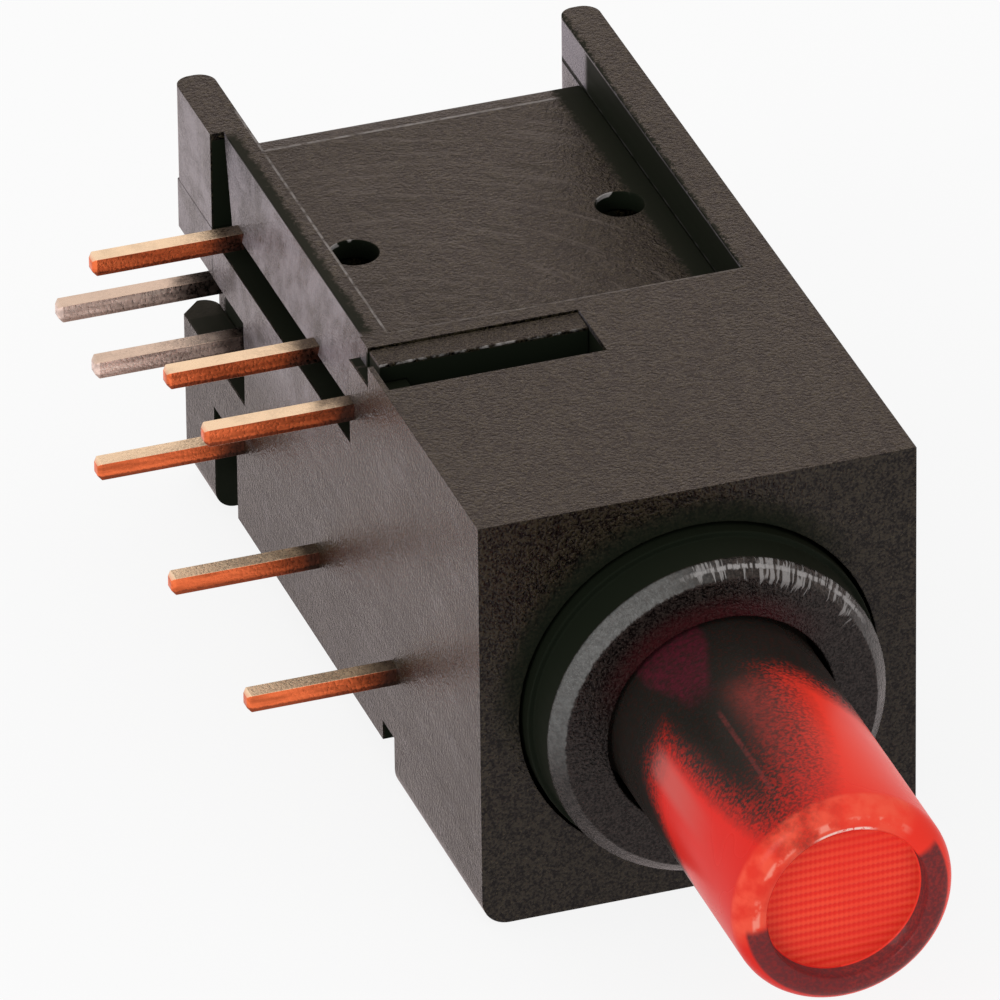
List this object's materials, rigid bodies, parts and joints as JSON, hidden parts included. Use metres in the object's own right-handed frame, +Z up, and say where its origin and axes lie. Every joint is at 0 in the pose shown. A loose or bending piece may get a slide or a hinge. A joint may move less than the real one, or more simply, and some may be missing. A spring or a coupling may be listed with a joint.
{
  "type": "illuminated pushbutton switch",
  "caption": "Right-angle illuminated pushbutton switch for a circuit board: black housing with a sunk side, stepped round collar, clear red lens cap and square pins out of one side.",
  "frame": {"origin": "middle of the outline, pins and button included, on the surface that the switch lies on", "axes": "+X from the pin side into the body, +Y from the front face to the back with the button standing out towards -Y, +Z up with the sunk side of the housing on top, as it lies in the picture"},
  "size_m": [0.013, 0.0292, 0.0097],
  "materials": {
    "black_plastic": "black moulding with a satin skin and fine grain",
    "collar_plastic": "black moulding, a little glossier on the front ring",
    "slider_plastic": "black moulding, smooth running faces",
    "clear_red": "clear red plastic, polished outside",
    "diode_resin": "tinted clear resin, smooth",
    "chip": "smooth",
    "plated_lead": "thinly plated, satin",
    "copper_alloy": "bare copper alloy, satin and slightly tarnished",
    "contact_alloy": "bright strip, satin",
    "spring_steel": "bright drawn wire"
  },
  "bodies": {
    "base": {"housing": "black_plastic", "contact_carrier": "black_plastic", "led_body": "diode_resin", "led_chip": "chip", "led_lead_cathode": "plated_lead", "led_lead_anode": "plated_lead", "upper_terminal_front": "copper_alloy", "upper_terminal_common": "copper_alloy", "upper_terminal_rear": "copper_alloy", "lower_terminal_front": "copper_alloy", "lower_terminal_common": "copper_alloy", "lower_terminal_rear": "copper_alloy", "return_spring": "spring_steel"},
    "button": {"collar": "collar_plastic", "lens": "clear_red", "slider": "slider_plastic", "upper_contact_bridge": "contact_alloy", "lower_contact_bridge": "contact_alloy", "upper_contact_spring": "spring_steel", "lower_contact_spring": "spring_steel"}
  },
  "joints": [
    {"name": "button_press", "type": "slide", "parent": "base", "child": "button", "axis": [0, 1, 0], "range_m": [0, 0.002], "stiffness_N_per_m": 400, "springref_m": -0.003, "deforming": ["return_spring"]}
  ]
}
